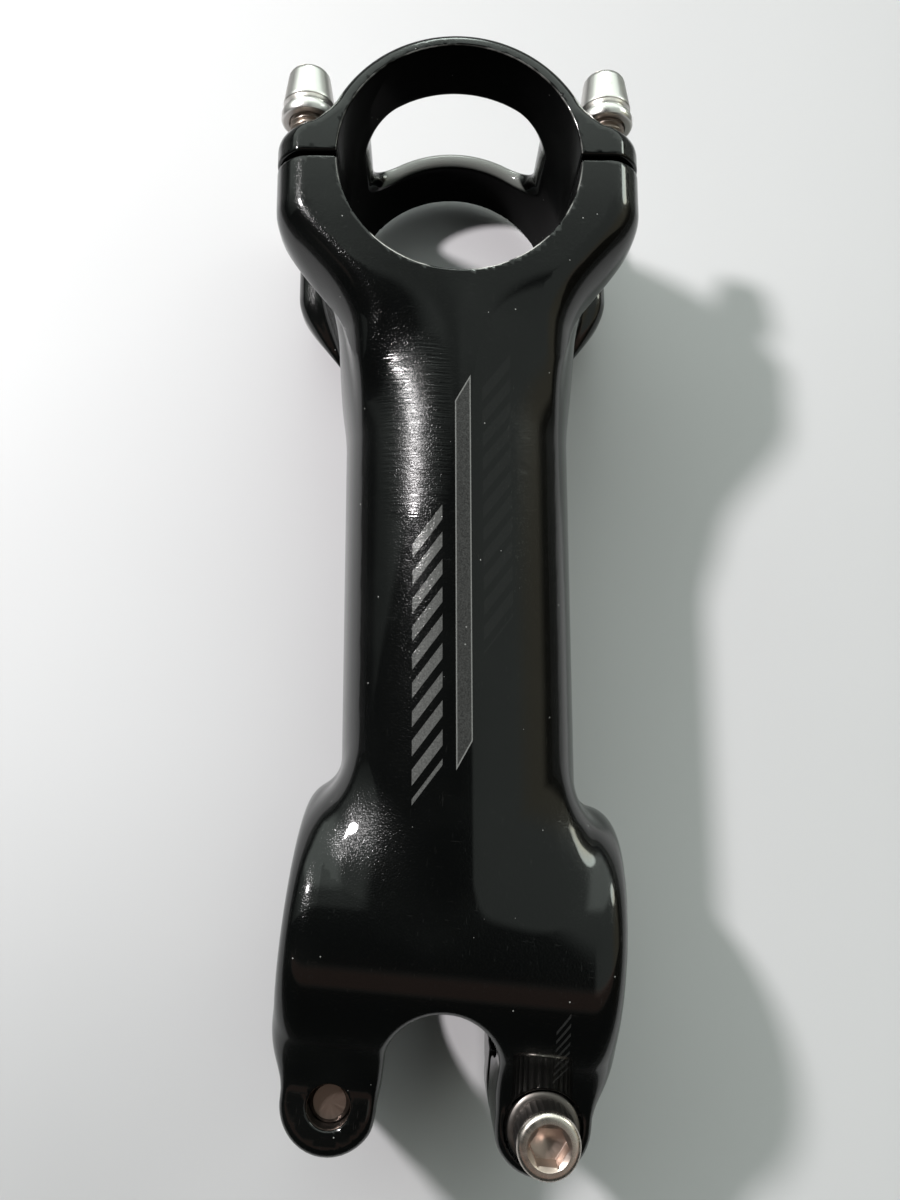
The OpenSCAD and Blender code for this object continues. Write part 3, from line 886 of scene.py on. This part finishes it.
def add_floor():
    """Pale table that the stem lies on, on its left side."""
    half = 1.5
    rest_y = cad_high.y + 0.0005
    corners = [(-half, rest_y, -half), (half, rest_y, -half), (half, rest_y, half), (-half, rest_y, half)]
    mesh = bpy.data.meshes.new("table_top")
    mesh.from_pydata(corners, [], [(0, 1, 2, 3)])
    table = bpy.data.objects.new("table_top", mesh)
    bpy.context.collection.objects.link(table)
    shader = Shader("table_paint")
    cloud = shader.noise(shader.place, 14.0)
    pale = shader.mix(cloud, (0.66, 0.65, 0.67, 1.0), (0.70, 0.69, 0.71, 1.0))
    # painted dark reflection: in glossy rays the table is painted darker, and near black from a hand's width
    # away from the stem, so its mirror image in the gloss paint ends there
    spread = shader.node("ShaderNodeVectorMath", {"operation": "LENGTH"})
    shader.feed(spread.inputs[0], shader.stretched((1.0, 0.0, 1.0)))
    far = shader.ramp(spread.outputs["Value"], 0.14, 0.19)
    mirrored = shader.node("ShaderNodeLightPath").outputs["Is Glossy Ray"]
    dark_reflection = shader.math("MULTIPLY", mirrored, shader.math("MULTIPLY_ADD", far, 0.62, 0.36))
    pale = shader.mix(dark_reflection, pale, (0.01, 0.01, 0.01, 1.0))
    # the light falls away past the steerer end, on the side of the stem's upper face
    past_end = shader.ramp(shader.dot(ALONG), 0.03, -0.05)
    outside = shader.ramp(shader.dot(SQUARE), 0.0, 0.06)
    corner = shader.math("MULTIPLY", past_end, outside)
    pale = shader.mix(shader.math("MULTIPLY", corner, 0.18), pale, (0.01, 0.01, 0.01, 1.0))
    shader.surface_inputs(Base_Color=pale, Roughness=0.65)
    # the table is seen through from underneath, so that the stem's left side can be viewed
    underneath = shader.node("ShaderNodeNewGeometry").outputs["Backfacing"]
    veil = shader.node("ShaderNodeMixShader")
    shader.feed(veil.inputs[0], underneath)
    shader.tree.links.new(shader.surface.outputs[0], veil.inputs[1])
    shader.tree.links.new(shader.node("ShaderNodeBsdfTransparent").outputs[0], veil.inputs[2])
    shader.tree.links.new(veil.outputs[0], shader.tree.nodes["Material Output"].inputs[0])
    mesh.materials.append(shader.material)


def view_direction(right, up, near):
    """A direction given the way the camera sees it: right, up and towards the camera."""
    return Vector(-SQUARE * right + ALONG * up - SIDE * near).normalized()


LAMP_WAY = view_direction(-0.57, 0.41, 0.67)
LAMP_DISTANCE = 0.5
LAMP_SIZE = 0.05
LAMP_POWER = 2.45
TOP_WINDOW_WAY = view_direction(0.0, 0.94, 0.30)
SIDE_WINDOW_WAY = view_direction(0.81, 0.51, 0.29)


def add_lamp():
    """Small round lamp, up and to the left of the camera."""
    data = bpy.data.lights.new("lamp", "AREA")
    data.shape = "DISK"
    data.size = LAMP_SIZE
    data.energy = LAMP_POWER
    data.color = (1.0, 0.97, 0.97)
    lamp = bpy.data.objects.new("lamp", data)
    bpy.context.collection.objects.link(lamp)
    lamp.location = Vector((0.05, 0.0, 0.005)) + LAMP_WAY * LAMP_DISTANCE
    lamp.rotation_mode = "QUATERNION"
    lamp.rotation_quaternion = LAMP_WAY.to_track_quat("Z", "Y")


class Room(Shader):
    """The dim room: pale walls, with the photographer's dark shape near the camera."""

    def __init__(self):
        self.material = bpy.data.worlds.new("room")
        self.material.use_nodes = True
        self.tree = self.material.node_tree
        self.surface = self.tree.nodes["Background"]
        self.place = self.node("ShaderNodeTexCoord").outputs["Generated"]


def add_room():
    """The surroundings, as light by direction, and a plain wall where the camera sees past the table."""
    room = Room()
    right = room.dot(-SQUARE)
    up = room.dot(ALONG)
    near = room.dot(-SIDE)
    depth = room.math("MAXIMUM", near, 0.03)
    across = room.math("DIVIDE", right, depth)
    height = room.math("DIVIDE", up, depth)
    right_part = room.math(
        "MULTIPLY", room.ramp(across, 0.17, 0.23), room.ramp(height, -0.60, -0.42)
    )
    arm = room.ramp(room.math("ABSOLUTE", room.math("ADD", across, 0.02)), 0.01, 0.09, 0.6, 1.0)
    top_part = room.math("MULTIPLY", room.ramp(height, 0.30, 0.42), arm)
    bright = room.math("MAXIMUM", right_part, top_part)
    bright = room.math("MULTIPLY", bright, room.ramp(near, 0.06, 0.24))
    bright = room.math("MULTIPLY", bright, room.ramp(right, -0.97, -0.8, 0.4, 1.0))
    bright = room.math("MULTIPLY", bright, room.ramp(up, 0.5, 0.63, 0.62, 2.1))
    tint = room.mix(room.ramp(right, 0.75, 0.95), (0.90, 1.0, 0.93, 1.0), (1.0, 0.95, 0.72, 1.0))
    rays = room.node("ShaderNodeLightPath")
    mirrored = rays.outputs["Is Glossy Ray"]
    share = room.math("MULTIPLY_ADD", mirrored, -0.34, 0.90)
    # warm clothing below the camera
    warm = room.math("MULTIPLY", room.ramp(height, -0.95, -0.75), room.ramp(height, -0.36, -0.55))
    warm = room.math("MULTIPLY", warm, room.math("MULTIPLY", mirrored, room.ramp(near, 0.3, 0.5)))
    tint = room.mix(warm, tint, (1.0, 0.68, 0.56, 1.0))
    level = room.math("MULTIPLY_ADD", bright, share, 0.03)
    level = room.math("MULTIPLY_ADD", warm, 0.17, level)
    for way, strength in ((TOP_WINDOW_WAY, 7.0), (SIDE_WINDOW_WAY, 7.0)):
        pane = room.ramp(room.dot(way), math.cos(math.radians(8.5)), math.cos(math.radians(5)))
        level = room.math("ADD", level, room.math("MULTIPLY", pane, strength))
    # light from below the table, which only reaches views from under it
    level = room.math("MULTIPLY_ADD", room.ramp(near, -0.02, -0.4), 0.55, level)
    camera = rays.outputs["Is Camera Ray"]
    wall = room.math("MULTIPLY", camera, 0.82)
    level = room.math("MULTIPLY_ADD", room.math("SUBTRACT", 1.0, camera), level, wall)
    tint = room.mix(camera, tint, (0.98, 1.0, 0.98, 1.0))
    room.surface_inputs(Color=tint, Strength=level)
    bpy.context.scene.world = room.material


add_camera()
add_floor()
add_lamp()
add_room()
bpy.context.scene.view_settings.view_transform = "Standard"
